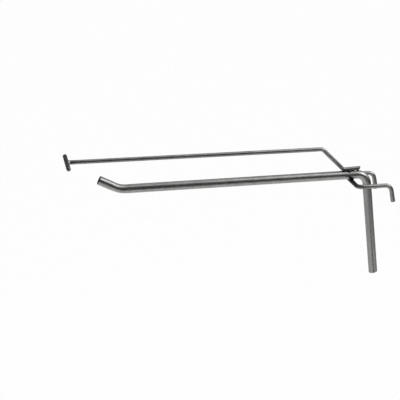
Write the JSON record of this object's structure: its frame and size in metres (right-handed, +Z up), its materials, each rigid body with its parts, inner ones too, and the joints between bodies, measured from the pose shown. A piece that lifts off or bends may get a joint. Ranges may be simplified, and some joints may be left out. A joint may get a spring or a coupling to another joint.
{
  "type": "gridwall hook",
  "caption": "Plated wire display hook that hangs on a grid panel: a thick goods arm with an upturned tip and a leg, a wire over it and a crossbar for a price label.",
  "frame": {"origin": "the middle of the part, at the point under the two hook arms where they rest on one horizontal wire of the grid", "axes": "+X towards the wall, +Y along the grid's horizontal wire, +Z up; the leg is vertical, as it hangs against the grid, and the goods arm climbs a little away from the wall"},
  "size_m": [0.2879, 0.0516, 0.1513],
  "materials": {
    "plated_rod": "bright plated steel, slightly soft, with drawing lines along the wire",
    "plated_wire": "bright plated steel wire",
    "weld_metal": "dark lumpy resistance weld"
  },
  "bodies": {
    "root": {"goods_arm": "plated_rod", "mounting_wire": "plated_wire", "overarm": "plated_wire", "label_crossbar": "plated_wire", "weld_tail_near": "weld_metal", "weld_tail_far": "weld_metal", "weld_crossing_front": "weld_metal", "weld_crossing_rear": "weld_metal", "weld_crossbar": "weld_metal"}
  },
  "joints": []
}
